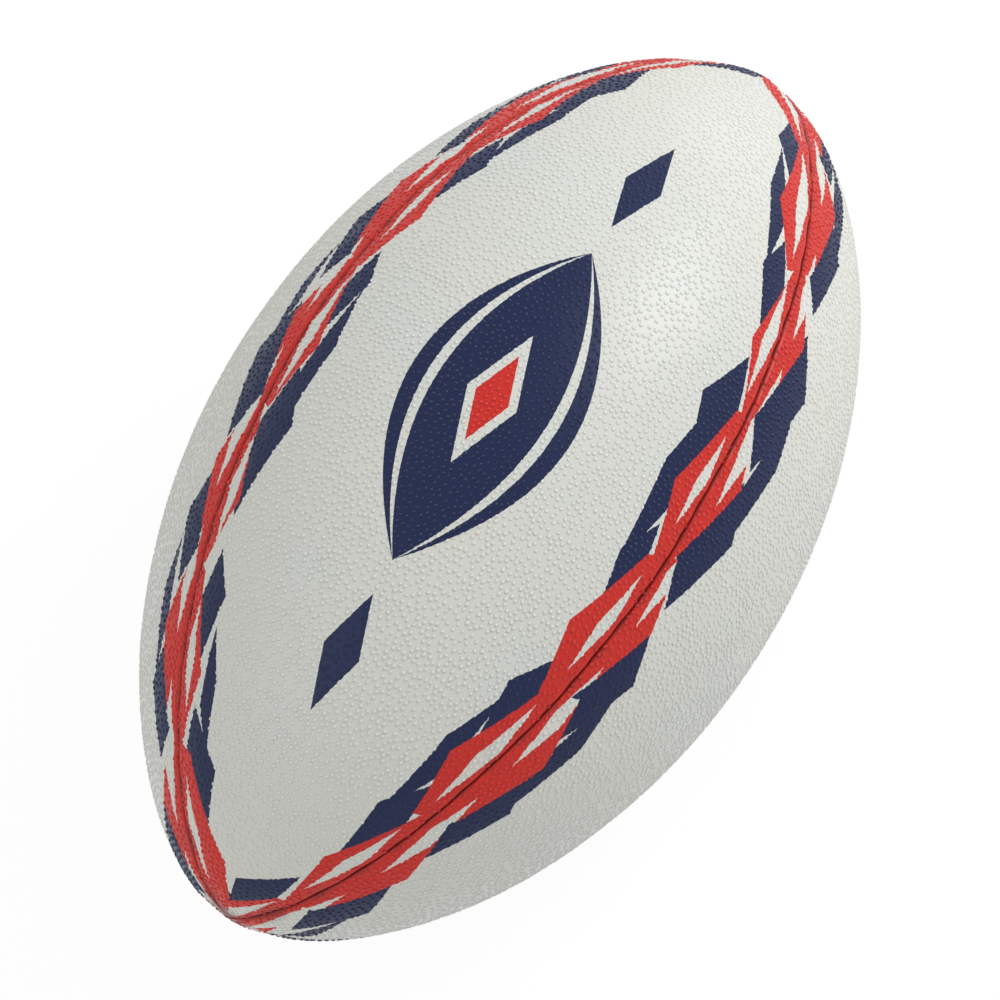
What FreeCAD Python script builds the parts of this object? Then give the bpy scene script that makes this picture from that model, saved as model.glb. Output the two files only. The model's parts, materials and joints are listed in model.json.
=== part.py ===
"""Training rugby ball, size 2.5: four laminated panels stitched over an inflated bladder.

+X runs along the ball from tip to tip, +Z points out of the middle of the front panel and +Y out of
the valve. The origin is the middle of the ball. All sizes are in millimetres.

Every layer is a shell between two copies of one pointed oval, each a stated depth below the grip.
A panel is a quarter of that oval. Its edges turn in at the seams and run on as flanges, and a saddle
stitch through the flanges of two neighbours holds them together.
"""
import FreeCAD, Part
import math
import os

from FreeCAD import Vector

# The pointed oval
BALL_LENGTH = 262.0
BALL_DIAMETER = 154.0
POINTEDNESS = 0.616        # power of the oval: 0.5 is an ellipse, and more is more pointed

# The laminate, from the grip inwards
RUBBER = 1.2
COTTON = 0.45
POLYESTER = 0.45

# The seams
SEAM_GAP = 0.1             # between the rubber of two neighbouring flanges
TURN_IN = 1.1              # width and depth of the turned-in edge at the ball's waist
TURN_IN_EASE = 6.0         # tip radius at which that edge is half as wide
SEAM_ALLOWANCE = 5.0       # depth of the flanges' free edges below the grip
THREAD = 0.8               # flat braided thread, as wide as it is thick
STITCH_DEPTH = 3.5         # depth of the stitch line below the grip
STITCH_PITCH = 9.0
STITCH_END = 16.0          # from the end of the stitch line to its first stitch

# The bladder
BLADDER_WALL = 0.8
BLADDER_EASE = 0.3         # clearance to the free edges of the flanges

# The valve
PATCH_RADIUS = 20.0
PATCH_THICKNESS = 0.4
PATCH_GLUE = 0.1           # film of adhesive between the patch and the lining
STEM_RADIUS = 4.5
STEM_LENGTH = 16.0
STEM_RECESS = 0.3          # its face lies this far below the grip
STEM_CLEARANCE = 0.15      # round the stem, in the panel and the patch
BASE_RADIUS = 12.0         # disc of the stem, bonded to the inside of the bladder
BASE_THICKNESS = 1.0
CORE_RADIUS = 2.6
CORE_LIP_RADIUS = 3.4
CORE_LIP_HEIGHT = 1.2
NEEDLE_RADIUS = 1.05
NEEDLE_DEPTH = 8.0

# Depths below the grip that follow from these
COTTON_DEPTH = RUBBER
POLYESTER_DEPTH = COTTON_DEPTH + COTTON
LINING_DEPTH = POLYESTER_DEPTH + POLYESTER
BLADDER_DEPTH = SEAM_ALLOWANCE + BLADDER_EASE
FLANGE_PAIR = SEAM_GAP + 2 * LINING_DEPTH      # thickness of two flanges, lining to lining

LAYERS = {
    "rubber": (0.0, COTTON_DEPTH),
    "cotton": (COTTON_DEPTH, POLYESTER_DEPTH),
    "polyester": (POLYESTER_DEPTH, LINING_DEPTH),
}
PANELS = ["front", "side", "back", "valve"]    # in the order that quarter turns about +X give

CENTRE = Vector(0, 0, 0)
LONG_AXIS = Vector(1, 0, 0)
VALVE_AXIS = Vector(0, 1, 0)
STATIONS = 12              # from the waist to each tip
ARC_STEPS = 8              # across a panel


# %% The oval

def oval_point(depth, turn):
    """Place along the ball and radius of the oval; turn goes from -pi/2 at one tip to pi/2."""
    along = (BALL_LENGTH / 2 - depth) * math.sin(turn)
    radius = (BALL_DIAMETER / 2 - depth) * max(math.cos(turn), 0.0) ** (2 * POINTEDNESS)
    return along, radius


def stations(limit):
    """The turns at which points are worked out, from tip to tip."""
    return [limit * i / STATIONS for i in range(-STATIONS, STATIONS + 1)]


def smooth_edge(points):
    curve = Part.BSplineCurve()
    curve.interpolate(points)
    return curve.toShape()


def turned(shape, quarter_turns, start=0.0):
    """Copy of a shape, turned about the ball's long axis."""
    copy = shape.copy()
    copy.rotate(CENTRE, LONG_AXIS, start + 90 * quarter_turns)
    return copy


def closed_solid(faces):
    """Solid whose skin is made of faces that meet edge to edge."""
    shell = Part.Shell(faces)
    shell.sewShape()
    solid = Part.Solid(shell)
    if solid.Volume < 0:
        solid.reverse()
    return solid


def oval_line(depth):
    """The line from tip to tip, in the plane y = 0, that turns into the oval."""
    profile = [oval_point(depth, turn) for turn in stations(math.pi / 2)]
    return smooth_edge([Vector(along, 0, radius) for along, radius in profile])


def oval(depth):
    """The whole oval at the given depth below the grip, in four quarters."""
    quarter_face = oval_line(depth).revolve(CENTRE, LONG_AXIS, 90)
    return closed_solid([turned(quarter_face, k, 45) for k in range(len(PANELS))])


def oval_wall(depth, thickness):
    return oval(depth).cut(oval(depth + thickness))


# %% A panel, built between the seam planes y = 0 and z = 0

def quarter(depth, edge_width=0.0):
    """Solid quarter of the oval that keeps the given depth from the grip and from both flanges.

    The turned-in edge takes an edge width off its skin at the waist, and less towards the tips.
    """
    offset = SEAM_GAP / 2 + depth
    tip_radius = math.sqrt(2) * offset
    limit = math.acos((tip_radius / (BALL_DIAMETER / 2 - depth)) ** (0.5 / POINTEDNESS))
    rows = []
    lower_rim = []
    for turn in stations(limit):
        along, radius = oval_point(depth, turn)
        room = max(radius - tip_radius, 0.0)
        edge = edge_width * room / (room + TURN_IN_EASE)
        start = math.asin(min((offset + edge) / radius, math.sqrt(0.5)))
        sweep = math.pi / 2 - 2 * start
        arc = [start + sweep * j / ARC_STEPS for j in range(ARC_STEPS + 1)]
        rows.append([Vector(along, radius * math.sin(a), radius * math.cos(a)) for a in arc])
        lower_rim.append((along, math.sqrt(max((radius - edge) ** 2 - offset ** 2, offset ** 2))))
    surface = Part.BSplineSurface()
    surface.interpolate(rows)
    faces = [surface.toShape()]
    rims = [surface.vIso(v).toShape() for v in surface.bounds()[2:]]
    ends = [rims[0].valueAt(parameter) for parameter in rims[0].ParameterRange]
    if edge_width:
        lower = [
            smooth_edge([Vector(along, offset, height) for along, height in lower_rim]),
            smooth_edge([Vector(along, height, offset) for along, height in lower_rim]),
        ]
        faces += [Part.makeRuledSurface(upper, under) for upper, under in zip(rims, lower)]
        rims = lower
    corner = Part.makeLine(*ends)
    faces += [Part.Face(Part.Wire([rim, corner])) for rim in rims]
    return closed_solid(faces)


def flange_trim():
    """What is cut from the flanges in the plane y = 0: all that lies deeper than their free edge."""
    edge = oval_line(SEAM_ALLOWANCE)
    ends = [edge.valueAt(parameter) for parameter in edge.ParameterRange]
    middle = Part.Face(Part.Wire([edge, Part.makeLine(*ends)]))
    middle.translate(Vector(0, -FLANGE_PAIR / 2, 0))
    return middle.extrude(Vector(0, FLANGE_PAIR, 0))


def layer(start, end, flange_cuts):
    """One layer of a panel with its two flanges."""
    solid = quarter(start, TURN_IN if start == 0 else 0.0).cut(quarter(end))
    return solid.cut(flange_cuts).Solids[0]


# %% The saddle stitch of the seam in the plane y = 0

def stitch_line():
    """Middle of each stitch hole, with the direction of the seam there."""
    line = oval_line(STITCH_DEPTH)
    room = line.Length - 2 * STITCH_END
    count = int(room / STITCH_PITCH)
    first = (line.Length - count * STITCH_PITCH) / 2
    places = [line.getParameterByLength(first + i * STITCH_PITCH) for i in range(count + 1)]
    return [(line.valueAt(place), line.tangentAt(place)) for place in places]


def flat_face(points):
    return Part.Face(Part.makePolygon(points + points[:1]))


def crossings(holes):
    """Short lengths of thread from one side of the flange pair to the other."""
    across = Vector(0, FLANGE_PAIR, 0)
    lengths = []
    for middle, seamwards in holes:
        along = seamwards * (THREAD / 2)
        out = seamwards.cross(VALVE_AXIS) * (THREAD / 2)
        square = [middle + along + out, middle - along + out, middle - along - out, middle + along - out]
        square = [point - across / 2 for point in square]
        lengths.append(flat_face(square).extrude(across))
    return lengths


def surface_threads(holes):
    """The two rows of stitches that lie on the lining, one on each side of the flange pair."""
    reach = THREAD / 2
    upper = [middle + seamwards.cross(VALVE_AXIS) * reach for middle, seamwards in holes]
    lower = [middle - seamwards.cross(VALVE_AXIS) * reach for middle, seamwards in holes]
    (first, first_way), (last, last_way) = holes[0], holes[-1]
    outline = [first - first_way * reach] + upper + [last + last_way * reach] + lower[::-1]
    row = flat_face(outline).extrude(Vector(0, THREAD, 0))
    rows = [row.copy(), row.copy()]
    rows[0].translate(Vector(0, FLANGE_PAIR / 2, 0))
    rows[1].translate(Vector(0, -FLANGE_PAIR / 2 - THREAD, 0))
    return rows


# %% The bladder

def bladder():
    return oval_wall(BLADDER_DEPTH, BLADDER_WALL).cut(valve_plug(STEM_RADIUS))


# %% The valve, in the middle of its panel

def valve_plug(radius, start=0.0, length=BALL_DIAMETER / 4):
    """Round plug on the valve's axis, from a depth below the grip inwards."""
    mouth = Vector(0, BALL_DIAMETER / 2 - start, 0)
    return Part.makeCylinder(radius, length, mouth, VALVE_AXIS * -1)


def valve_patch():
    ring = valve_plug(PATCH_RADIUS).cut(valve_plug(STEM_RADIUS + STEM_CLEARANCE))
    return oval_wall(LINING_DEPTH + PATCH_GLUE, PATCH_THICKNESS).common(ring)


def valve_core_form():
    lip = valve_plug(CORE_LIP_RADIUS, STEM_RECESS, CORE_LIP_HEIGHT)
    return lip.fuse(valve_plug(CORE_RADIUS, STEM_RECESS, STEM_LENGTH))


def valve_stem():
    base = oval_wall(BLADDER_DEPTH + BLADDER_WALL, BASE_THICKNESS).common(valve_plug(BASE_RADIUS))
    neck = valve_plug(STEM_RADIUS, STEM_RECESS, STEM_LENGTH)
    return neck.fuse(base).cut(valve_core_form())


def valve_core():
    return valve_core_form().cut(valve_plug(NEEDLE_RADIUS, STEM_RECESS, NEEDLE_DEPTH))


# %% The whole ball

def build():
    nodes = {}
    holes = stitch_line()
    passes = crossings(holes)
    one_seam = [flange_trim()] + passes
    flange_cuts = one_seam + [turned(cut, -1) for cut in one_seam]
    valve_hole = valve_plug(STEM_RADIUS + STEM_CLEARANCE)
    for material, (start, end) in LAYERS.items():
        piece = layer(start, end, flange_cuts)
        for quarter_turns, panel in enumerate(PANELS):
            placed = turned(piece, quarter_turns, 45)
            if panel == "valve":
                placed = placed.cut(valve_hole)
            nodes[f"panel_{panel}_{material}"] = placed
    rows = surface_threads(holes)
    thread = rows[0].multiFuse(rows[1:] + passes)
    for quarter_turns, panel in enumerate(PANELS):
        neighbour = PANELS[(quarter_turns + 1) % len(PANELS)]
        nodes[f"seam_{panel}_{neighbour}_thread"] = turned(thread, quarter_turns, 45)
    nodes["bladder"] = bladder()
    nodes["valve_patch"] = valve_patch()
    nodes["valve_stem"] = valve_stem()
    nodes["valve_core"] = valve_core()
    return nodes


os.makedirs("parts", exist_ok=True)
for name, shape in build().items():
    solids = shape.Solids
    node = solids[0] if len(solids) == 1 else Part.makeCompound(solids)
    node.exportStep(f"parts/{name}.step")
    print(f"{name}: {len(solids)} solid, {node.Volume / 1000:.1f} cm3, valid {node.isValid()}")
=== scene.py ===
# %% [markdown]
# # A rugby ball, dressed in Blender
#
# A rugby ball is four panels of rubber-faced cloth. They are stitched together inside out and
# turned, and a bladder inside them is then pumped up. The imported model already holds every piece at
# its real size. This lesson gives the pieces their looks: the rubber faces get their rolled seams,
# their thousands of grip pimples and their print, and everything inside gets a fitting finish.
#
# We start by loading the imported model. It is the fixed frame that all new pieces are built around.

# %% Load the frame
import bmesh
import bpy
import json
import math
from mathutils import Matrix, Vector, noise


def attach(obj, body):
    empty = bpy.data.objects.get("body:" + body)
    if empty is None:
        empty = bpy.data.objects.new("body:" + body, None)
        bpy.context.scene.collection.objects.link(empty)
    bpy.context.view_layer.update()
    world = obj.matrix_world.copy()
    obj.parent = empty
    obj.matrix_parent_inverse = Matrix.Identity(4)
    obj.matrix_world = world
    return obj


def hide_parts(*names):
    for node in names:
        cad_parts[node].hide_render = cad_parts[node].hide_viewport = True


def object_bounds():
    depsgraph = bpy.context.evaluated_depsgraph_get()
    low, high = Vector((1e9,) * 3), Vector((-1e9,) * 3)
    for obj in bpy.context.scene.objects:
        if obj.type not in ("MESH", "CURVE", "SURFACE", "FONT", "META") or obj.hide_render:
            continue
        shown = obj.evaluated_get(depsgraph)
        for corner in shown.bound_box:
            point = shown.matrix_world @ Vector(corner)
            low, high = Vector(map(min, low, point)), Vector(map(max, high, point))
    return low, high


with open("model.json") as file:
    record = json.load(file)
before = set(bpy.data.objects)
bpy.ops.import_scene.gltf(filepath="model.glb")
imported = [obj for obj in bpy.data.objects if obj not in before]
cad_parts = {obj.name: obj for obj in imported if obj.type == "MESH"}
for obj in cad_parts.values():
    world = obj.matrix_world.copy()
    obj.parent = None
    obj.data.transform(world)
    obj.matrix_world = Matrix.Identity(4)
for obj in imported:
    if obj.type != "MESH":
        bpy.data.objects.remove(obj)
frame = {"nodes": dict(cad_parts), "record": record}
cad_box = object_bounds()
print(f"{len(frame['nodes'])} nodes, box {[round(1000 * v, 1) for v in cad_box[1]]} mm from the middle")

# %% [markdown]
# ## The ball's own sizes
#
# The ball's length and width are read from the frame, so the looks follow the model. The oval is the
# one that the panels are cut to: an ellipse whose width is raised to a power, which makes the tips a
# little pointed. Blender works in metres, so `MM` turns millimetres into metres.

# %% Sizes
MM = 0.001
BODY = "root"
HALF_LENGTH = cad_box[1][0]
HALF_WIDTH = cad_box[1][2]
POINTEDNESS = 0.616
PANELS = ["front", "side", "back", "valve"]     # in the order of quarter turns about +X

RUBBER = 1.2 * MM
SEAM_GAP = 0.1 * MM
FLANGE_DEPTH = 5.0 * MM


def oval(depth, turn):
    """Place along the ball and radius of the oval at a depth below the grip."""
    along = (HALF_LENGTH - depth) * math.sin(turn)
    radius = (HALF_WIDTH - depth) * max(math.cos(turn), 0.0) ** (2 * POINTEDNESS)
    return along, radius


print(f"ball {2000 * HALF_LENGTH:.0f} x {2000 * HALF_WIDTH:.0f} mm")

# %% [markdown]
# ## The camera
#
# The ball lies on its back panel and is seen from almost straight above, from far away through a long
# lens, so its outline is hardly stretched. A camera looks along its own -Z with +Y up, so its
# rotation is three columns: right, up and back towards the viewer. That is simpler to control than
# angles, because the view is also rolled.

# %% Camera
VIEWER = Vector((-0.236, -0.187, 0.953)).normalized()
UP_HINT = Vector((0.816, 0.495, 0.299))
DISTANCE = 1.5
SENSOR = 36.0
FIELD_WIDTH = 0.2551             # what the picture shows from side to side, at the ball
AIM_RIGHT = -0.0008
AIM_UP = -0.0018

right = UP_HINT.cross(VIEWER).normalized()
up = VIEWER.cross(right)
aim = right * AIM_RIGHT + up * AIM_UP
camera_data = bpy.data.cameras.new("camera")
camera_data.sensor_width = SENSOR
camera_data.lens = SENSOR * DISTANCE / FIELD_WIDTH
camera = bpy.data.objects.new("camera", camera_data)
camera_turn = Matrix((right, up, VIEWER)).transposed().to_4x4()
camera.matrix_world = Matrix.Translation(aim + VIEWER * DISTANCE) @ camera_turn
bpy.context.collection.objects.link(camera)
bpy.context.scene.camera = camera
print(f"lens {camera_data.lens:.0f} mm at {DISTANCE} m")

# %% [markdown]
# ## Small helpers
#
# Most of the looks are made of shader and geometry nodes. `Wires` adds nodes to a tree and connects
# them, so that a formula reads like one. A value that is fed to a socket is either a number, which is
# set on the socket, or another node's output, which is linked.

# %% Node helper
class Wires:
    """Adds nodes to one tree and connects them."""

    def __init__(self, tree):
        self.tree = tree

    def feed(self, socket, value):
        if isinstance(value, bpy.types.NodeSocket):
            self.tree.links.new(value, socket)
        elif value is not None:
            socket.default_value = value

    def node(self, kind, settings=None, **inputs):
        """A node of this kind. Input names are written with _ for a space."""
        made = self.tree.nodes.new(kind)
        for name, value in (settings or {}).items():
            setattr(made, name, value)
        for name, value in inputs.items():
            self.feed(made.inputs[name.replace("_", " ")], value)
        return made

    def math(self, operation, *values):
        made = self.tree.nodes.new("ShaderNodeMath")
        made.operation = operation
        for socket, value in zip(made.inputs, values):
            self.feed(socket, value)
        return made.outputs[0]

    def mix(self, amount, first, second):
        """Blend of two colours, from the first at 0 to the second at 1."""
        made = self.tree.nodes.new("ShaderNodeMix")
        made.data_type = "RGBA"
        self.feed(made.inputs[0], amount)
        self.feed(made.inputs[6], first)
        self.feed(made.inputs[7], second)
        return made.outputs[2]


def colour(red, green, blue):
    """A colour written as it looks on screen, from 0 to 255, turned into the shader's own scale."""
    def linear(value):
        value /= 255
        return value / 12.92 if value <= 0.04045 else ((value + 0.055) / 1.055) ** 2.4
    return (linear(red), linear(green), linear(blue), 1.0)


print("wires and colours ready")


# %% Group helper
def shader_group(name, inputs, outputs):
    """An empty shader node group with float and vector sockets, ready to be filled."""
    tree = bpy.data.node_groups.new(name, "ShaderNodeTree")
    kinds = {"float": "NodeSocketFloat", "vector": "NodeSocketVector"}
    for label, kind in inputs.items():
        tree.interface.new_socket(label, in_out="INPUT", socket_type=kinds[kind])
    for label, kind in outputs.items():
        tree.interface.new_socket(label, in_out="OUTPUT", socket_type=kinds[kind])
    wires = Wires(tree)
    return wires, wires.node("NodeGroupInput").outputs, wires.node("NodeGroupOutput").inputs


def principled(name):
    """A new material, its wires, its Principled shader and its object coordinates."""
    material = bpy.data.materials.new(name)
    material.use_nodes = True
    wires = Wires(material.node_tree)
    shader = material.node_tree.nodes["Principled BSDF"]
    place = wires.node("ShaderNodeTexCoord").outputs["Object"]
    return material, wires, shader, place


print("groups and materials ready")

# %% [markdown]
# ## A rubber face
#
# Each face is moulded as a flat sheet and pulled over its cloth. At the seams it is turned in: its
# edge rolls over and runs on inwards as a flange, which is stitched to its neighbour's. The seam sits
# in a shallow valley, because the stitches pull harder than the bladder pushes, and it is puckered a
# little between them.
#
# A face could be cut out of an egg shape, but the rolled edge would be lost. Here each face is a row
# of closed rings instead, one ring for each station from tip to tip. A ring goes round one flange, over
# its rolled edge, across the face to the other roll and flange, and back along the inside. All rings
# have the same number of points, so neighbours are joined by four-sided faces.

# %% Sizes of a face
STATIONS = 150                   # rings from tip to tip
ACROSS = 40                      # steps across the face
INSIDE_STEPS = 12                # steps along its inner side
ROLL_STEPS = 5                   # steps round a rolled edge
ROLL_RADIUS = 1.3 * MM
TIP_SHARE = 0.2                  # near the tips the roll is at most this share of the radius
TIP_RADIUS = 0.3 * MM            # where the rings end
VALLEY_DEPTH = 0.55 * MM
VALLEY_WIDTH = 4.5 * MM
STITCH_PITCH = 9.0 * MM
STITCH_PUCKER = 0.28             # share by which the valley deepens at each stitch
TIP_PUCKER = 0.35                # more valley at the tips, as a share of its depth
TIP_PUCKER_REACH = 16.0 * MM
WANDER = 0.3 * MM                # how far a seam leaves its straight line
WANDER_BEND = 19 * MM            # the wander is a long wave and a short one
WANDER_WOBBLE = 7.3 * MM
WOBBLE_SHARE = 0.6               # height of the short wave, as a share of the long one's
BEND_PHASE = 1.7                 # how far apart the long waves of neighbouring seams start
WOBBLE_PHASE = 2.1               # the short ones start this many times as far apart, the other way
WANDER_TIP = 20 * MM             # the wander fades out where the ball's radius is less than this
FOOT_SHIFT = 0.3                 # how much of the wander reaches halfway down a flange
UNEVENNESS = 0.22 * MM
SWELL_SCALE = 22.0               # the unevenness is a coarse noise and a fine one, in waves a metre
HOLLOW_SCALE = 60.0
HOLLOW_SHARE = 0.4               # height of the fine noise, as a share of the coarse one's
CALM_EDGE = 8.0 * MM             # the unevenness fades out this near to a seam
EDGE_CROWDING = 0.6              # how much closer the points lie towards the seams

end_turn = math.acos((TIP_RADIUS / HALF_WIDTH) ** (0.5 / POINTEDNESS))
turns = [end_turn * (2 * i / STATIONS - 1) for i in range(STATIONS + 1)]


def seam_wander(seam, along):
    """Sideways shift of a seam, the same for both of its panels."""
    phase = BEND_PHASE * seam
    bend = math.sin(along / WANDER_BEND + phase)
    wobble = math.sin(along / WANDER_WOBBLE - WOBBLE_PHASE * phase)
    fade = 1 - (along / HALF_LENGTH) ** 2
    return WANDER * (bend + WOBBLE_SHARE * wobble) * fade


def valley_depth(seam, along):
    """Depth of the valley in the line of a seam."""
    stitches = 1 + STITCH_PUCKER * math.cos(2 * math.pi * along / STITCH_PITCH + seam)
    from_tip = HALF_LENGTH - abs(along)
    return VALLEY_DEPTH * (stitches + TIP_PUCKER * math.exp(-(from_tip / TIP_PUCKER_REACH) ** 2))


def sink(turn, angle, seams):
    """Depth of the face below the oval, from the valleys on both of its sides."""
    along, radius = oval(0, turn)
    reaches = (radius * math.sin(angle), radius * math.cos(angle))
    shares = [math.exp(-(max(reach - ROLL_RADIUS, 0.0) / VALLEY_WIDTH) ** 2) for reach in reaches]
    return math.hypot(*[valley_depth(seam, along) * share for seam, share in zip(seams, shares)])


print(f"{STATIONS + 1} rings, valley {1000 * valley_depth(0, 0):.2f} mm deep in the middle")


# %% One ring
def edge_points(turn, seams, shift_sign):
    """Points of the edge at the first seam, from the flange's foot over the roll.

    Each is a pair: the distance from the seam's plane and the depth below the grip.
    """
    along, radius = oval(0, turn)
    roll = min(ROLL_RADIUS, TIP_SHARE * radius)
    shift = shift_sign * seam_wander(seams[0], along) * min(1.0, radius / WANDER_TIP)
    gap = SEAM_GAP / 2
    deep = sink(turn, edge_angle(turn, gap + roll, 0), seams)
    points = [(gap + RUBBER, RUBBER), (gap + RUBBER, FLANGE_DEPTH), (gap, FLANGE_DEPTH)]
    points.append((gap + FOOT_SHIFT * shift, (FLANGE_DEPTH + roll + deep) / 2))
    for step in range(ROLL_STEPS + 1):
        bend = math.pi / 2 * step / ROLL_STEPS
        points.append((gap + roll * (1 - math.cos(bend)) + shift, deep + roll * (1 - math.sin(bend))))
    return points


def ring_point(turn, angle, depth):
    """Point of a ring at an angle from the first seam's plane."""
    along, radius = oval(depth, turn)
    return Vector((along, radius * math.sin(angle), radius * math.cos(angle)))


def edge_angle(turn, reach, depth):
    """Angle from the seam's plane at which a point stands off it by the reach."""
    radius = oval(depth, turn)[1]
    return min(math.asin(min(reach / max(radius, 1e-6), 1.0)), math.pi / 4)


def unevenness(point):
    """The small swells and hollows of a pumped-up panel."""
    swell = noise.noise(point * SWELL_SCALE)
    return UNEVENNESS * swell + HOLLOW_SHARE * UNEVENNESS * noise.noise(point * HOLLOW_SCALE)


def face_ring(turn, seams):
    """One closed ring of a face that lies between the planes y = 0 and z = 0."""
    near = edge_points(turn, seams, 1)
    far = edge_points(turn, seams[::-1], -1)
    radius = oval(0, turn)[1]
    ring = [ring_point(turn, edge_angle(turn, *p), p[1]) for p in near]
    start = edge_angle(turn, *near[-1])
    end = math.pi / 2 - edge_angle(turn, *far[-1])
    for step in range(1, ACROSS):
        share = step / ACROSS
        share -= EDGE_CROWDING * math.sin(2 * math.pi * share) / (2 * math.pi)
        angle = start + (end - start) * share
        point = ring_point(turn, angle, sink(turn, angle, seams))
        calm = min(1.0, radius * min(math.sin(angle), math.cos(angle)) / CALM_EDGE)
        ring.append(point * (1 + calm * unevenness(point) / HALF_WIDTH))
    ring += [ring_point(turn, math.pi / 2 - edge_angle(turn, *p), p[1]) for p in reversed(far)]
    inner_start = edge_angle(turn, *near[0])
    inner_end = math.pi / 2 - edge_angle(turn, *far[0])
    for step in range(INSIDE_STEPS - 1, 0, -1):
        angle = inner_start + (inner_end - inner_start) * step / INSIDE_STEPS
        ring.append(ring_point(turn, angle, RUBBER))
    return ring


print(f"{len(face_ring(0.0, (0, 3)))} points in a ring")


# %% The whole face
def mesh_object(name, mesh):
    made = bpy.data.objects.new(name, mesh)
    bpy.context.collection.objects.link(made)
    return made


def face_mesh(name, quarter_turns):
    """Closed mesh of one rubber face, in its place on the ball."""
    seams = (quarter_turns, (quarter_turns - 1) % len(PANELS))
    place = Matrix.Rotation(math.radians(45 + 90 * quarter_turns), 4, "X")
    shape = bmesh.new()
    rings = []
    for turn in turns:
        rings.append([shape.verts.new(place @ point) for point in face_ring(turn, seams)])
    for ring, following in zip(rings, rings[1:]):
        for i in range(len(ring)):
            j = (i + 1) % len(ring)
            shape.faces.new((ring[i], ring[j], following[j], following[i]))
    shape.faces.new(rings[0])
    shape.faces.new(rings[-1])
    bmesh.ops.recalc_face_normals(shape, faces=shape.faces)
    if shape.calc_volume(signed=True) < 0:
        bmesh.ops.reverse_faces(shape, faces=shape.faces)
    mesh = bpy.data.meshes.new(name)
    shape.to_mesh(mesh)
    shape.free()
    return mesh


faces = {}
for quarter_turns, panel in enumerate(PANELS):
    faces[panel] = mesh_object(f"rubber_face_{panel}", face_mesh(f"rubber_face_{panel}", quarter_turns))
    print(panel, len(faces[panel].data.polygons), "faces")

# %% [markdown]
# ## The hole for the valve
#
# The valve comes out in the middle of one panel. The hole is punched after the panel is made, so it
# is cut here with a Boolean too. It leaves a little room round the neck of the valve stem. The punch is
# a round bar that stands in the face's wall and reaches well past it on both sides.

# %% Punch the valve hole
STEM_RADIUS = 4.5 * MM
HOLE_CLEARANCE = 0.15 * MM
PUNCH_PLACE = 0.9                # how far out its middle lies, as a share of the half width
PUNCH_LENGTH = 0.4               # in the same share
PUNCH_SIDES = 48


def bake_modifiers(target):
    """Replaces an object's mesh by its evaluated one and removes its modifiers."""
    evaluated = target.evaluated_get(bpy.context.evaluated_depsgraph_get())
    mesh = bpy.data.meshes.new_from_object(evaluated)
    mesh.validate()
    target.modifiers.clear()
    target.data = mesh


def punch(target, radius):
    """Cuts a round hole along +Y through the outer wall of a face."""
    shape = bmesh.new()
    lift = Matrix.Translation((0, PUNCH_PLACE * HALF_WIDTH, 0))
    bmesh.ops.create_cone(shape, cap_ends=True, segments=PUNCH_SIDES, radius1=radius, radius2=radius,
                          depth=PUNCH_LENGTH * HALF_WIDTH,
                          matrix=lift @ Matrix.Rotation(math.pi / 2, 4, "X"))
    mesh = bpy.data.meshes.new("punch")
    shape.to_mesh(mesh)
    shape.free()
    tool = mesh_object("punch", mesh)
    cut = target.modifiers.new("hole", "BOOLEAN")
    cut.object = tool
    cut.solver = "EXACT"
    bake_modifiers(target)
    bpy.data.objects.remove(tool)


punch(faces["valve"], STEM_RADIUS + HOLE_CLEARANCE)
print("valve face", len(faces["valve"].data.polygons), "faces")

# %% [markdown]
# ## Grip pimples
#
# The rubber is moulded with thousands of small round pimples, so that a wet ball doesn't slip. A bump
# map could fake them, but then the outline would be smooth, and the mesh would have none.
# Geometry Nodes suit them well: points are scattered over the face with a least distance between any
# two, which is how the mould looks, and a low dome is put on each, turned to the surface. Each dome
# has only seven faces, because there are about eight thousand on a panel.
#
# The attribute `grip` says where pimples grow: not in the crease of a seam, on the flanges, the inside,
# the very tips or the smooth disc round the valve. The attribute `pimple` is 0 at the foot of a dome
# and 1 on its top, with the sheet in between, so that the material can paint shade round the feet and
# leave the tops lighter. The attribute `crease` grows to 1 down in the seam, where shade is painted.

# %% Where the pimples grow
PIMPLE_RADIUS = 0.68 * MM
PIMPLE_TOP_RADIUS = 0.32 * MM
PIMPLE_HEIGHT = 0.28 * MM
PIMPLE_ROOT = 0.05 * MM
PIMPLE_SIDES = 6
SHEET_TONE = 0.72                # 0 is the painted shade at a pimple's foot, 1 its lighter top
PIMPLE_SPACING = 1.36 * MM       # the least distance between two
PIMPLE_SMALLEST = 0.84           # they differ in size between these two scales
PIMPLE_LARGEST = 1.12
MOST_POINTS = 4e6                # points tried on a square metre, enough to fill the face
SKIN = 0.9 * RUBBER              # what lies deeper than this is no grip
SKIN_AT_SEAM = 1.5 * RUBBER      # and this close to a seam, where the face sinks into the valley
SEAM_MARGIN = 0.5 * MM
BARE_TIP = 3.0 * MM              # no pimples where the ball's radius is less than this
VALVE_DISC = 8.0 * MM
CREASE_START = 0.6 * MM          # painted shade begins where a point is sunk deeper than this
CREASE_REACH = 0.7 * MM
LAST_SHARE = 0.9999              # the oval's slope has no value at the very tip


def sunk(point):
    """Depth of a point under the plain oval, square to its surface, and the oval's radius there."""
    share = min(abs(point.x) / HALF_LENGTH, LAST_SHARE)
    level = 1 - share * share
    full = HALF_WIDTH * level ** POINTEDNESS
    slope = 2 * POINTEDNESS * full * share / (HALF_LENGTH * level)
    return (full - math.hypot(point.y, point.z)) / math.sqrt(1 + slope * slope), full


def store(mesh, name, values):
    """Keeps one number on each point of a mesh, as a named attribute."""
    mesh.attributes.new(name, "FLOAT", "POINT").data.foreach_set("value", values)


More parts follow.
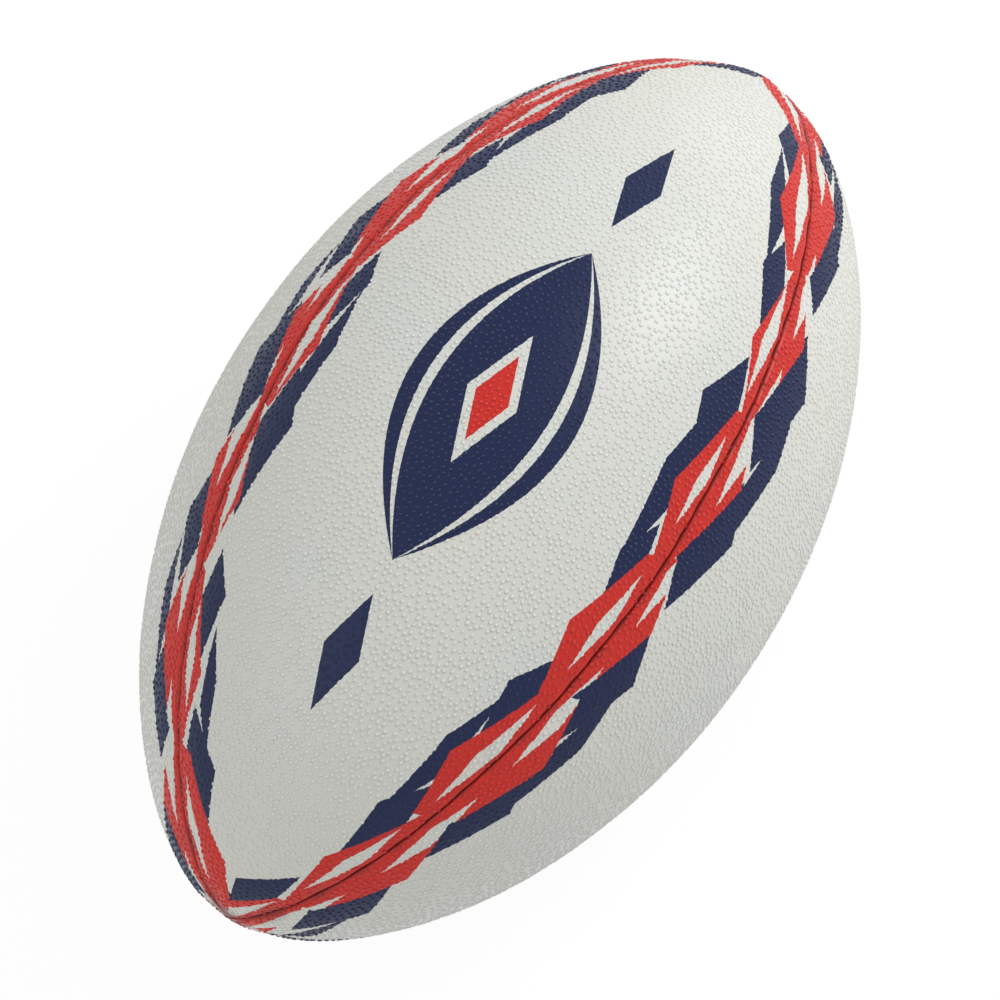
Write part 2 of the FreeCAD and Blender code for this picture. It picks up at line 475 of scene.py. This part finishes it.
def mark_face(mesh, has_valve):
    """Stores on each point whether pimples grow there and how far into the crease it lies."""
    grip, crease = [], []
    for vertex in mesh.vertices:
        x, y, z = vertex.co
        depth, full = sunk(vertex.co)
        from_seam = abs(abs(y) - abs(z)) / math.sqrt(2)
        skin = SKIN_AT_SEAM if from_seam < RUBBER else SKIN
        on_grip = depth < skin and full > BARE_TIP and from_seam > SEAM_MARGIN
        off_valve = not has_valve or math.hypot(x, z) > VALVE_DISC
        grip.append(float(on_grip and off_valve))
        crease.append(min(max((depth - CREASE_START) / CREASE_REACH, 0.0), 1.0))
    store(mesh, "grip", grip)
    store(mesh, "crease", crease)
    store(mesh, "pimple", [SHEET_TONE] * len(mesh.vertices))
    return sum(grip) / len(grip)


for panel, piece in faces.items():
    share = mark_face(piece.data, panel == "valve")
    print(f"{panel}: {share:.0%} of the points carry grip")


# %% One pimple
def pimple_object():
    """A low six-sided dome, open underneath, whose rim is sunk into the sheet."""
    shape = bmesh.new()
    corners = [2 * math.pi / PIMPLE_SIDES * i for i in range(PIMPLE_SIDES)]
    rings = []
    for radius, height in ((PIMPLE_RADIUS, -PIMPLE_ROOT), (PIMPLE_TOP_RADIUS, PIMPLE_HEIGHT)):
        rings.append([shape.verts.new((radius * math.cos(a), radius * math.sin(a), height)) for a in corners])
    for i in range(PIMPLE_SIDES):
        j = (i + 1) % PIMPLE_SIDES
        shape.faces.new((rings[0][i], rings[0][j], rings[1][j], rings[1][i]))
    shape.faces.new(rings[1])
    mesh = bpy.data.meshes.new("pimple")
    shape.to_mesh(mesh)
    shape.free()
    store(mesh, "pimple", [0.0] * PIMPLE_SIDES + [1.0] * PIMPLE_SIDES)
    return mesh_object("pimple", mesh)


pimple = pimple_object()
print(len(pimple.data.polygons), "faces on a pimple")


# %% The tree that scatters them
def pimple_tree():
    """Geometry nodes that put a pimple on each scattered point of a face."""
    tree = bpy.data.node_groups.new("Grip pimples", "GeometryNodeTree")
    tree.is_modifier = True
    sockets = {
        "Geometry": "NodeSocketGeometry",
        "Pimple": "NodeSocketObject",
        "Spacing": "NodeSocketFloat",
        "Smallest": "NodeSocketFloat",
        "Largest": "NodeSocketFloat",
        "Seed": "NodeSocketInt",
        "Material": "NodeSocketMaterial",
    }
    for label, kind in sockets.items():
        tree.interface.new_socket(label, in_out="INPUT", socket_type=kind)
    tree.interface.new_socket("Geometry", in_out="OUTPUT", socket_type="NodeSocketGeometry")
    wires = Wires(tree)
    given = wires.node("NodeGroupInput").outputs
    grip = wires.node("GeometryNodeInputNamedAttribute", {"data_type": "FLOAT"}, Name="grip")
    scatter = wires.node(
        "GeometryNodeDistributePointsOnFaces", {"distribute_method": "POISSON"},
        Mesh=given["Geometry"], Distance_Min=given["Spacing"], Density_Max=MOST_POINTS,
        Density_Factor=grip.outputs["Attribute"], Seed=given["Seed"])
    dome = wires.node("GeometryNodeObjectInfo", Object=given["Pimple"])
    size = wires.node("FunctionNodeRandomValue", {"data_type": "FLOAT"})
    wires.feed(size.inputs[2], given["Smallest"])
    wires.feed(size.inputs[3], given["Largest"])
    wires.feed(size.inputs["Seed"], given["Seed"])
    domes = wires.node(
        "GeometryNodeInstanceOnPoints", Points=scatter.outputs["Points"],
        Instance=dome.outputs["Geometry"], Rotation=scatter.outputs["Rotation"], Scale=size.outputs[1])
    joined = wires.node("GeometryNodeJoinGeometry")
    wires.feed(joined.inputs[0], domes.outputs[0])
    wires.feed(joined.inputs[0], given["Geometry"])
    real = wires.node("GeometryNodeRealizeInstances", Geometry=joined.outputs[0])
    dressed = wires.node("GeometryNodeSetMaterial", Geometry=real.outputs[0], Material=given["Material"])
    wires.feed(wires.node("NodeGroupOutput").inputs["Geometry"], dressed.outputs[0])
    return tree


pimples = pimple_tree()
print(len(pimples.nodes), "nodes in the pimple tree")

# %% [markdown]
# ## Print
#
# The print follows the seams: a harlequin band of long red lozenges that straddle the seam, with navy
# ones beside them on both sides and bare slivers left in the red. It is worked out in the shader from
# the place on the ball, so it stays sharp at any distance and needs no picture. Two numbers describe a
# place: how far along the seam it lies, and how far across.
#
# Every lozenge is the same small formula: the share of its half length plus the share of its half
# width is under 1 inside it. One group holds that formula, and the band uses it four times.

# %% Lozenge group
LEAST_SCALE = 0.72               # a lozenge is at least this much of its full size
SCALE_RANGE = 0.45               # and up to this much more, by chance
SEED_STEP = 7.31                 # keeps the chances of two rows apart


def lozenge_group():
    """A row of lozenges along a seam. Each differs a little in length and width."""
    wires, given, out = shader_group(
        "Lozenge row",
        {"Along": "float", "Across": "float", "Pitch": "float", "Start": "float",
         "Half length": "float", "Half width": "float", "Lean": "float", "Seed": "float"},
        {"Mask": "float"})
    leaning = wires.math("MULTIPLY_ADD", given["Across"], given["Lean"], given["Along"])
    shifted = wires.math("SUBTRACT", leaning, given["Start"])
    number = wires.math("ROUND", wires.math("DIVIDE", shifted, given["Pitch"]))
    offset = wires.math("SUBTRACT", shifted, wires.math("MULTIPLY", number, given["Pitch"]))
    chance = wires.node("ShaderNodeTexWhiteNoise", {"noise_dimensions": "1D"},
                        W=wires.math("MULTIPLY_ADD", given["Seed"], SEED_STEP, number))
    scale = wires.math("MULTIPLY_ADD", chance.outputs["Value"], SCALE_RANGE, LEAST_SCALE)
    length_share = wires.math("DIVIDE", wires.math("ABSOLUTE", offset),
                              wires.math("MULTIPLY", given["Half length"], scale))
    width_share = wires.math("DIVIDE", wires.math("ABSOLUTE", given["Across"]),
                             wires.math("MULTIPLY", given["Half width"], scale))
    inside = wires.math("LESS_THAN", wires.math("ADD", length_share, width_share), 1.0)
    wires.feed(out["Mask"], inside)
    return wires.tree


lozenges = lozenge_group()
print("lozenge group:", len(lozenges.nodes), "nodes")


# %% Place group
ARC_SHARE = 0.43                 # the way along an oval seam lies between the straight way and a circle's
RAGGED_SCALE = 1100.0            # waves a metre in the ragged edge of the print


def place_group():
    """Where a point lies, in millimetres: along and across the nearest seam, and on the front."""
    wires, given, out = shader_group(
        "Place on the ball", {"Place": "vector", "Half length": "float", "Ragged": "float"},
        {"Along": "float", "Across": "float", "Seam": "float", "X": "float", "Y": "float", "Front": "float"})
    parts = wires.node("ShaderNodeSeparateXYZ", Vector=given["Place"]).outputs
    x, y, z = (wires.math("MULTIPLY", parts[axis], 1 / MM) for axis in "XYZ")
    ragged = wires.node("ShaderNodeTexNoise", Vector=given["Place"], Scale=RAGGED_SCALE, Detail=1.0)
    jitter = wires.math("MULTIPLY", wires.math("SUBTRACT", ragged.outputs["Fac"], 0.5), given["Ragged"])
    share = wires.math("DIVIDE", x, given["Half length"])
    bent = wires.math("MULTIPLY", wires.math("ARCSINE", share), given["Half length"])
    arc = wires.math("MULTIPLY_ADD", bent, ARC_SHARE, wires.math("MULTIPLY", x, 1 - ARC_SHARE))
    across = wires.math("SUBTRACT", wires.math("ABSOLUTE", z), wires.math("ABSOLUTE", y))
    across = wires.math("MULTIPLY_ADD", across, math.sqrt(0.5), jitter)
    valve_side = wires.math("GREATER_THAN", y, 0.0)
    front_side = wires.math("GREATER_THAN", z, 0.0)
    seam = wires.math("MULTIPLY_ADD", front_side, 2.0, valve_side)
    wires.feed(out["Along"], wires.math("ADD", arc, jitter))
    wires.feed(out["Across"], across)
    wires.feed(out["Seam"], seam)
    wires.feed(out["X"], wires.math("ADD", x, jitter))
    wires.feed(out["Y"], wires.math("ADD", y, jitter))
    wires.feed(out["Front"], front_side)
    return wires.tree


places = place_group()
print("place group:", len(places.nodes), "nodes")

# %% [markdown]
# ## The band and the emblem
#
# The red row sits on the seam itself. The other rows use the distance from a line beside the seam, so
# they repeat on both sides. All sizes of the print are in millimetres.
#
# The front panel also carries a plain emblem: a navy pointed oval inside a ring, with a red lozenge in
# its middle, and a slender navy lozenge beyond each of its ends. The oval's edge is a parabola, whose
# ends are sharp, and the ring is the same parabola, wider.

# %% Band group
RED_ROW = {"Pitch": 43.0, "Start": 6.0, "Half length": 36.0, "Half width": 10.8, "Lean": 0.5, "Seed": 1.0}
NAVY_ROW = {"Pitch": 43.0, "Start": 27.0, "Half length": 18.5, "Half width": 6.8, "Lean": -0.7, "Seed": 2.0}
NAVY_OFFSET = 7.8
DART_ROW = {"Pitch": 86.0, "Start": 50.0, "Half length": 22.0, "Half width": 3.4, "Lean": -1.4, "Seed": 3.0}
DART_OFFSET = 12.0
SLIVER_ROW = {"Pitch": 43.0, "Start": 14.0, "Half length": 18.0, "Half width": 2.3, "Lean": 0.8, "Seed": 4.0}
SLIVER_OFFSET = 3.8
SIDE_SHIFT = 9.0                 # the rows beside a seam are this much further on, on one side
SEAM_PHASE = 17.0                # the rows of each seam start this much further on
SEAM_SEEDS = 5.0                 # the seeds of two seams lie this far apart


def band_group():
    """Masks of the seam print: red and navy, with bare slivers left in the red."""
    wires, given, out = shader_group(
        "Seam band", {"Along": "float", "Across": "float", "Seam": "float"},
        {"Red": "float", "Navy": "float"})
    along = wires.math("MULTIPLY_ADD", given["Seam"], SEAM_PHASE, given["Along"])
    off_seam = wires.math("ABSOLUTE", given["Across"])
    side = wires.math("SIGN", given["Across"])
    beside = wires.math("MULTIPLY_ADD", side, SIDE_SHIFT, along)

    def row(sizes, place, across):
        made = wires.node("ShaderNodeGroup", {"node_tree": lozenges}, Along=place, Across=across)
        for label, value in sizes.items():
            wires.feed(made.inputs[label], value)
        row_seed = wires.math("ADD", side, sizes["Seed"])
        seed = wires.math("MULTIPLY_ADD", given["Seam"], SEAM_SEEDS, row_seed)
        wires.feed(made.inputs["Seed"], seed)
        return made.outputs["Mask"]

    red = row(RED_ROW, along, given["Across"])
    navy = row(NAVY_ROW, beside, wires.math("SUBTRACT", off_seam, NAVY_OFFSET))
    dart = row(DART_ROW, beside, wires.math("SUBTRACT", off_seam, DART_OFFSET))
    sliver = row(SLIVER_ROW, beside, wires.math("SUBTRACT", off_seam, SLIVER_OFFSET))
    bare = wires.math("MULTIPLY", sliver, red)
    wires.feed(out["Red"], wires.math("SUBTRACT", red, bare))
    wires.feed(out["Navy"], wires.math("SUBTRACT", wires.math("MAXIMUM", navy, dart), bare))
    return wires.tree


bands = band_group()
print("band group:", len(bands.nodes), "nodes")

# %% Emblem group
EMBLEM_LENGTH = 92.0
EMBLEM_WIDTH = 44.0
EMBLEM_RING = 0.80               # inner edge of its ring, as a share of the half width
EMBLEM_CORE = 0.68               # edge of its solid middle, in the same share
EYE_HALF_LENGTH = 19.0
EYE_HALF_WIDTH = 7.0
EYE_FILL = 0.66                  # the red lozenge fills this share of the bare one
SIDE_PLACE = 70.0
SIDE_HALF_LENGTH = 15.0
SIDE_HALF_WIDTH = 5.0


def emblem_group():
    """Masks of the plain emblem, in millimetres along and across the front panel."""
    wires, given, out = shader_group("Emblem", {"X": "float", "Y": "float"},
                                     {"Navy": "float", "Red": "float"})
    from_middle = wires.math("ABSOLUTE", given["X"])
    off_line = wires.math("ABSOLUTE", given["Y"])

    def lozenge(along, half_length, half_width):
        return wires.math("ADD", wires.math("DIVIDE", along, half_length),
                          wires.math("DIVIDE", off_line, half_width))

    share = wires.math("DIVIDE", from_middle, EMBLEM_LENGTH / 2)
    reach = wires.math("SUBTRACT", 1.0, wires.math("MULTIPLY", share, share))
    full_line = wires.math("MULTIPLY", reach, EMBLEM_WIDTH / 2)

    def within(level):
        return wires.math("LESS_THAN", off_line, wires.math("MULTIPLY", full_line, level))

    ring = wires.math("SUBTRACT", within(1.0), within(EMBLEM_RING))
    eye = lozenge(from_middle, EYE_HALF_LENGTH, EYE_HALF_WIDTH)
    core = wires.math("MULTIPLY", within(EMBLEM_CORE), wires.math("GREATER_THAN", eye, 1.0))
    side_along = wires.math("ABSOLUTE", wires.math("SUBTRACT", from_middle, SIDE_PLACE))
    side = wires.math("LESS_THAN", lozenge(side_along, SIDE_HALF_LENGTH, SIDE_HALF_WIDTH), 1.0)
    wires.feed(out["Navy"], wires.math("MAXIMUM", side, wires.math("MAXIMUM", ring, core)))
    wires.feed(out["Red"], wires.math("LESS_THAN", eye, EYE_FILL))
    return wires.tree


emblems = emblem_group()
print("emblem group:", len(emblems.nodes), "nodes")

# %% [markdown]
# ## Wear and dust
#
# No rubber or cloth is one even colour. It is a little warmer in patches where it has been handled, and
# it has a fine grain. One group makes both masks from noise at two scales, and every material here
# uses it with its own strength. It puts out masks only: the colours stay in each material.

# %% Handling group
PATCH_FROM = 0.35                # the noise is stretched between these two values
PATCH_TO = 0.68


def handling_group():
    """Masks of handled patches and of fine grain. Both sizes are in metres."""
    wires, given, out = shader_group(
        "Handling", {"Place": "vector", "Patch size": "float", "Grain size": "float"},
        {"Patches": "float", "Grain": "float"})
    patch_scale = wires.math("DIVIDE", 1.0, given["Patch size"])
    grain_scale = wires.math("DIVIDE", 1.0, given["Grain size"])
    patches = wires.node("ShaderNodeTexNoise", Vector=given["Place"], Scale=patch_scale, Detail=4.0)
    grain = wires.node("ShaderNodeTexNoise", Vector=given["Place"], Scale=grain_scale, Detail=3.0)
    soft = wires.node("ShaderNodeMapRange", Value=patches.outputs["Fac"],
                      From_Min=PATCH_FROM, From_Max=PATCH_TO)
    wires.feed(out["Patches"], soft.outputs["Result"])
    wires.feed(out["Grain"], grain.outputs["Fac"])
    return wires.tree


handling = handling_group()
print("handling group:", len(handling.nodes), "nodes")

# %% [markdown]
# ## The grip rubber
#
# The rubber is a soft off-white with a low sheen, and the ink on it is a little duller. Shade is painted
# round the foot of each pimple, whose top is left lighter, and down in the crease of each seam.

# %% Grip rubber
# The darker second colour of the white, the red and the navy is painted shade for the feet of the pimples.
WHITE = colour(232, 234, 229)
WHITE_PAINTED_SHADE = colour(176, 178, 171)
WHITE_HANDLED = colour(223, 221, 211)
RED = colour(226, 50, 40)
RED_PAINTED_SHADE = colour(148, 18, 15)
NAVY = colour(8, 31, 80)
NAVY_PAINTED_SHADE = colour(7, 13, 38)
# Painted shade down in the crease of a seam.
CREASE_PAINTED_SHADE = colour(58, 34, 32)
RAGGED = 0.35                    # how much the print's edge strays, in millimetres
HANDLED_SHARE = 0.5              # how strongly the handled patches show
LEAST_CREASE_SHADE = 0.5                 # share of the painted crease shade that is there whatever the grain
BARE_ROUGHNESS = 0.28
INK_ROUGHER = 0.03
GRAIN_ROUGHER = 0.1
GLOSS = 0.3                      # strength of the surface reflection
GRIP_BUMP = 0.35
FINE_BUMP = 0.1 * MM


def grip_rubber():
    """Off-white rubber with the seam print and, on the front, the emblem."""
    material, wires, shader, place = principled("grip_rubber")
    spot = wires.node("ShaderNodeGroup", {"node_tree": places}, Place=place,
                      Half_length=HALF_LENGTH / MM, Ragged=RAGGED).outputs
    band = wires.node("ShaderNodeGroup", {"node_tree": bands}, Along=spot["Along"],
                      Across=spot["Across"], Seam=spot["Seam"]).outputs
    emblem = wires.node("ShaderNodeGroup", {"node_tree": emblems}, X=spot["X"], Y=spot["Y"]).outputs
    worn = wires.node("ShaderNodeGroup", {"node_tree": handling}, Place=place,
                      Patch_size=45 * MM, Grain_size=0.6 * MM).outputs
    height = wires.node("ShaderNodeAttribute", {"attribute_name": "pimple"}).outputs["Fac"]
    navy = wires.math("MAXIMUM", band["Navy"], wires.math("MULTIPLY", emblem["Navy"], spot["Front"]))
    red = wires.math("MAXIMUM", band["Red"], wires.math("MULTIPLY", emblem["Red"], spot["Front"]))
    # Painted shade round the foot of each pimple, with the top left lighter.
    bare = wires.mix(height, WHITE_PAINTED_SHADE, WHITE)
    bare = wires.mix(wires.math("MULTIPLY", worn["Patches"], HANDLED_SHARE), bare, WHITE_HANDLED)
    inked = wires.mix(navy, bare, wires.mix(height, NAVY_PAINTED_SHADE, NAVY))
    inked = wires.mix(red, inked, wires.mix(height, RED_PAINTED_SHADE, RED))
    # Painted shade down in the seam's crease, broken up by the grain.
    crease = wires.node("ShaderNodeAttribute", {"attribute_name": "crease"}).outputs["Fac"]
    spotted = wires.math("MULTIPLY_ADD", worn["Grain"], 1 - LEAST_CREASE_SHADE, LEAST_CREASE_SHADE)
    inked = wires.mix(wires.math("MULTIPLY", crease, spotted), inked, CREASE_PAINTED_SHADE)
    ink = wires.math("MAXIMUM", navy, red)
    rough = wires.math("MULTIPLY_ADD", ink, INK_ROUGHER, BARE_ROUGHNESS)
    rough = wires.math("MULTIPLY_ADD", worn["Grain"], GRAIN_ROUGHER, rough)
    shader.inputs["Specular IOR Level"].default_value = GLOSS
    wires.feed(shader.inputs["Base Color"], inked)
    wires.feed(shader.inputs["Roughness"], rough)
    bump = wires.node("ShaderNodeBump", Strength=GRIP_BUMP, Distance=FINE_BUMP, Height=worn["Grain"])
    wires.feed(shader.inputs["Normal"], bump.outputs["Normal"])
    return material


grip = grip_rubber()
print("grip rubber:", len(grip.node_tree.nodes), "nodes")

# %% [markdown]
# ## Grow the pimples
#
# The modifier is given its values by the identifier of each socket, before the face is evaluated.
# The evaluated result becomes the face's mesh, and the modifier is removed, so that the finished
# piece is a plain mesh.

# %% Run the pimple tree
SHARP = math.radians(50)


def grow_pimples(piece, seed):
    """Covers a face with pimples and says how many there are."""
    piece.data.shade_smooth()
    piece.data.set_sharp_from_angle(angle=SHARP)
    grow = piece.modifiers.new("pimples", "NODES")
    grow.node_group = pimples
    values = {"Pimple": pimple, "Spacing": PIMPLE_SPACING, "Smallest": PIMPLE_SMALLEST,
              "Largest": PIMPLE_LARGEST, "Seed": seed, "Material": grip}
    for socket in pimples.interface.items_tree:
        if socket.in_out == "INPUT" and socket.name in values:
            grow[socket.identifier] = values[socket.name]
    before = len(piece.data.polygons)
    bake_modifiers(piece)
    piece.data.shade_smooth()
    return (len(piece.data.polygons) - before) // len(pimple.data.polygons)


for seed, (panel, piece) in enumerate(faces.items(), start=1):
    grown = grow_pimples(piece, seed)
    triangles = sum(len(face.vertices) - 2 for face in piece.data.polygons)
    print(f"{panel}: {grown} pimples, {triangles} triangles")
bpy.data.objects.remove(pimple)

# %% [markdown]
# ## What lies under the rubber
#
# The cloth plies, the thread, the bladder and the valve already have their right shape in the packed
# model, so they keep it and only get a finish. A ply is woven: two wave patterns across each other
# give its threads. The group takes the thread's width, so both cloths, the canvas and the waxed thread
# share it.

# %% Weave group
def weave_group():
    """Height of a plain weave, and a mask of its open corners."""
    wires, given, out = shader_group("Weave", {"Place": "vector", "Thread": "float"},
                                     {"Height": "float", "Corners": "float"})
    parts = wires.node("ShaderNodeSeparateXYZ", Vector=given["Place"]).outputs
    turn = wires.math("ARCTAN2", parts["Y"], parts["Z"])
    around = wires.math("MULTIPLY", turn, HALF_WIDTH)
    step = wires.math("DIVIDE", math.pi, given["Thread"])
    warp = wires.math("SINE", wires.math("MULTIPLY", parts["X"], step))
    weft = wires.math("SINE", wires.math("MULTIPLY", around, step))
    over = wires.math("MULTIPLY", warp, weft)
    height = wires.math("MULTIPLY_ADD", over, 0.5, 0.5)
    corners = wires.math("MULTIPLY", wires.math("ABSOLUTE", warp), wires.math("ABSOLUTE", weft))
    wires.feed(out["Height"], height)
    wires.feed(out["Corners"], wires.math("SUBTRACT", 1.0, corners))
    return wires.tree


weave = weave_group()
print("weave group:", len(weave.nodes), "nodes")


# %% Cloth and thread
CORNER_SHADE = 0.5               # how dark the open corners of the weave are
PATCH_SHADE = 0.4                # and how much darker they get in the handled patches
CLOTH_ROUGHER = 0.15
CLOTH_SHEEN = 0.25
WEAVE_BUMP = 0.6
WEAVE_HEIGHT = 0.2 * MM


def cloth(name, light, dark, thread, roughness):
    """A woven finish with threads of this width in metres."""
    material, wires, shader, place = principled(name)
    woven = wires.node("ShaderNodeGroup", {"node_tree": weave}, Place=place, Thread=thread).outputs
    worn = wires.node("ShaderNodeGroup", {"node_tree": handling}, Place=place,
                      Patch_size=20 * MM, Grain_size=0.4 * MM).outputs
    depth = wires.math("MULTIPLY_ADD", worn["Patches"], PATCH_SHADE, CORNER_SHADE)
    shade = wires.math("MULTIPLY", woven["Corners"], depth)
    rough = wires.math("MULTIPLY_ADD", worn["Grain"], CLOTH_ROUGHER, roughness)
    wires.feed(shader.inputs["Base Color"], wires.mix(shade, light, dark))
    wires.feed(shader.inputs["Roughness"], rough)
    shader.inputs["Sheen Weight"].default_value = CLOTH_SHEEN
    bump = wires.node("ShaderNodeBump", Strength=WEAVE_BUMP, Distance=WEAVE_HEIGHT, Height=woven["Height"])
    wires.feed(shader.inputs["Normal"], bump.outputs["Normal"])
    return material


finishes = {
    "cotton_ply": cloth("cotton_ply", colour(222, 212, 188), colour(176, 162, 132), 0.9 * MM, 0.75),
    "polyester_ply": cloth("polyester_ply", colour(232, 232, 228), colour(188, 190, 190), 0.6 * MM, 0.6),
    "waxed_thread": cloth("waxed_thread", colour(226, 216, 186), colour(178, 162, 122), 0.4 * MM, 0.5),
    "canvas_patch": cloth("canvas_patch", colour(206, 196, 170), colour(152, 140, 112), 1.1 * MM, 0.8),
}
print(sorted(finishes))


# %% Moulded rubber
DUST_SHARE = 0.6
MOULD_ROUGHER = 0.2
MOULD_BUMP = 0.25


def moulded_rubber(name, base, worn_colour, roughness):
    """Plain dark rubber, dusty in patches."""
    material, wires, shader, place = principled(name)
    worn = wires.node("ShaderNodeGroup", {"node_tree": handling}, Place=place,
                      Patch_size=12 * MM, Grain_size=0.3 * MM).outputs
    dust = wires.math("MULTIPLY", worn["Patches"], DUST_SHARE)
    rough = wires.math("MULTIPLY_ADD", worn["Grain"], MOULD_ROUGHER, roughness)
    wires.feed(shader.inputs["Base Color"], wires.mix(dust, base, worn_colour))
    wires.feed(shader.inputs["Roughness"], rough)
    bump = wires.node("ShaderNodeBump", Strength=MOULD_BUMP, Distance=FINE_BUMP, Height=worn["Grain"])
    wires.feed(shader.inputs["Normal"], bump.outputs["Normal"])
    return material


finishes["bladder_rubber"] = moulded_rubber("bladder_rubber", colour(34, 34, 36), colour(58, 57, 56), 0.4)
finishes["valve_rubber"] = moulded_rubber("valve_rubber", colour(30, 30, 32), colour(66, 64, 62), 0.45)
print(len(finishes), "finishes under the rubber")

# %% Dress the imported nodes
for part in frame["record"]["subparts"]:
    node = frame["nodes"][part["node"]]
    finish = finishes.get(part["material_slot"], grip)
    if not node.material_slots:
        node.data.materials.append(finish)
    for material_slot in node.material_slots:
        material_slot.material = finish

# %% [markdown]
# ## Hand the faces over
#
# Each new face rides on the ball's one body and stands for its imported node, which is hidden. Its
# finish is the grip rubber, set when its pimples were grown.

# %% Ride and replace
for panel, piece in faces.items():
    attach(piece, BODY)
    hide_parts(f"panel_{panel}_rubber")
print(len(faces), "faces ride on", BODY)

# %% [markdown]
# ## Floor, lamps and background
#
# A white floor keeps the ball's soft shadow. Seen by the camera it is mostly plain white light, so
# the background is clean without more light on the ball. One large soft lamp stands high on the
# right, a weaker one fills from the left, a third behind the ball puts a sheen on its far tip, and
# the world gives the rest.

# %% Studio
# A lamp's side is its direction from the ball: shares of the ways to the viewer, to the right and up.
LAMPS = {
    "key": {"side": (0.5, 0.6, 0.6), "distance": 1.2, "size": 0.5, "power": 6.5},
    "fill": {"side": (0.8, -0.8, -0.2), "distance": 1.5, "size": 1.2, "power": 3.2},
    "rim": {"side": (-0.3, 0.55, 0.78), "distance": 1.3, "size": 0.7, "power": 3.2},
}
WORLD_LIGHT = 0.56
FLOOR_HALF = 3.0
FLOOR_GREY = 0.86
FLOOR_GLOW = 1.06                # a little over white, so that the shadow fades out before the edge
SHADOW_SHARE = 0.14              # how much of the floor's own shading the camera sees


def seen_directly(wires):
    """1 for a look from the camera, also by way of gloss or glass, and 0 for light that falls on things."""
    path = wires.node("ShaderNodeLightPath").outputs
    mirrored = wires.math("MAXIMUM", path["Is Glossy Ray"], path["Is Transmission Ray"])
    return wires.math("MAXIMUM", path["Is Camera Ray"], mirrored)


def white_floor():
    """A floor under the ball's lowest point. Gives back its height."""
    low = min((piece.matrix_world @ vertex.co).z
              for piece in faces.values() for vertex in piece.data.vertices)
    corners = [(x * FLOOR_HALF, y * FLOOR_HALF, low) for x, y in ((-1, -1), (1, -1), (1, 1), (-1, 1))]
    mesh = bpy.data.meshes.new("floor")
    mesh.from_pydata(corners, [], [(0, 1, 2, 3)])
    floor = mesh_object("floor", mesh)
    material = bpy.data.materials.new("floor_white")
    material.use_nodes = True
    wires = Wires(material.node_tree)
    material.node_tree.nodes.clear()
    matt = wires.node("ShaderNodeBsdfDiffuse", Color=(FLOOR_GREY, FLOOR_GREY, FLOOR_GREY, 1.0))
    glow = wires.node("ShaderNodeEmission", Strength=FLOOR_GLOW)
    blend = wires.node("ShaderNodeMixShader")
    wires.feed(blend.inputs[0], wires.math("MULTIPLY", seen_directly(wires), 1 - SHADOW_SHARE))
    wires.feed(blend.inputs[1], matt.outputs[0])
    wires.feed(blend.inputs[2], glow.outputs[0])
    wires.node("ShaderNodeOutputMaterial", Surface=blend.outputs[0])
    floor.data.materials.append(material)
    return low


def lamp(name, side, distance, size, power):
    """A square soft lamp that looks at the ball."""
    to_viewer, to_right, to_top = side
    direction = VIEWER * to_viewer + right * to_right + up * to_top
    data = bpy.data.lights.new(name, "AREA")
    data.size = size
    data.energy = power
    made = bpy.data.objects.new(name, data)
    made.matrix_world = (Matrix.Translation(direction.normalized() * distance)
                         @ direction.to_track_quat("Z", "Y").to_matrix().to_4x4())
    bpy.context.collection.objects.link(made)


def white_world():
    """White where it is looked at, and a dimmer white as a source of light."""
    world = bpy.data.worlds.new("studio")
    world.use_nodes = True
    bpy.context.scene.world = world
    wires = Wires(world.node_tree)
    background = world.node_tree.nodes["Background"]
    strength = wires.math("MULTIPLY_ADD", seen_directly(wires), 1 - WORLD_LIGHT, WORLD_LIGHT)
    background.inputs["Color"].default_value = (1, 1, 1, 1)
    wires.feed(background.inputs["Strength"], strength)


floor_level = white_floor()
for name, settings in LAMPS.items():
    lamp(name, **settings)
white_world()
bpy.context.scene.view_settings.view_transform = "Standard"
print(f"floor at {1000 * floor_level:.1f} mm")
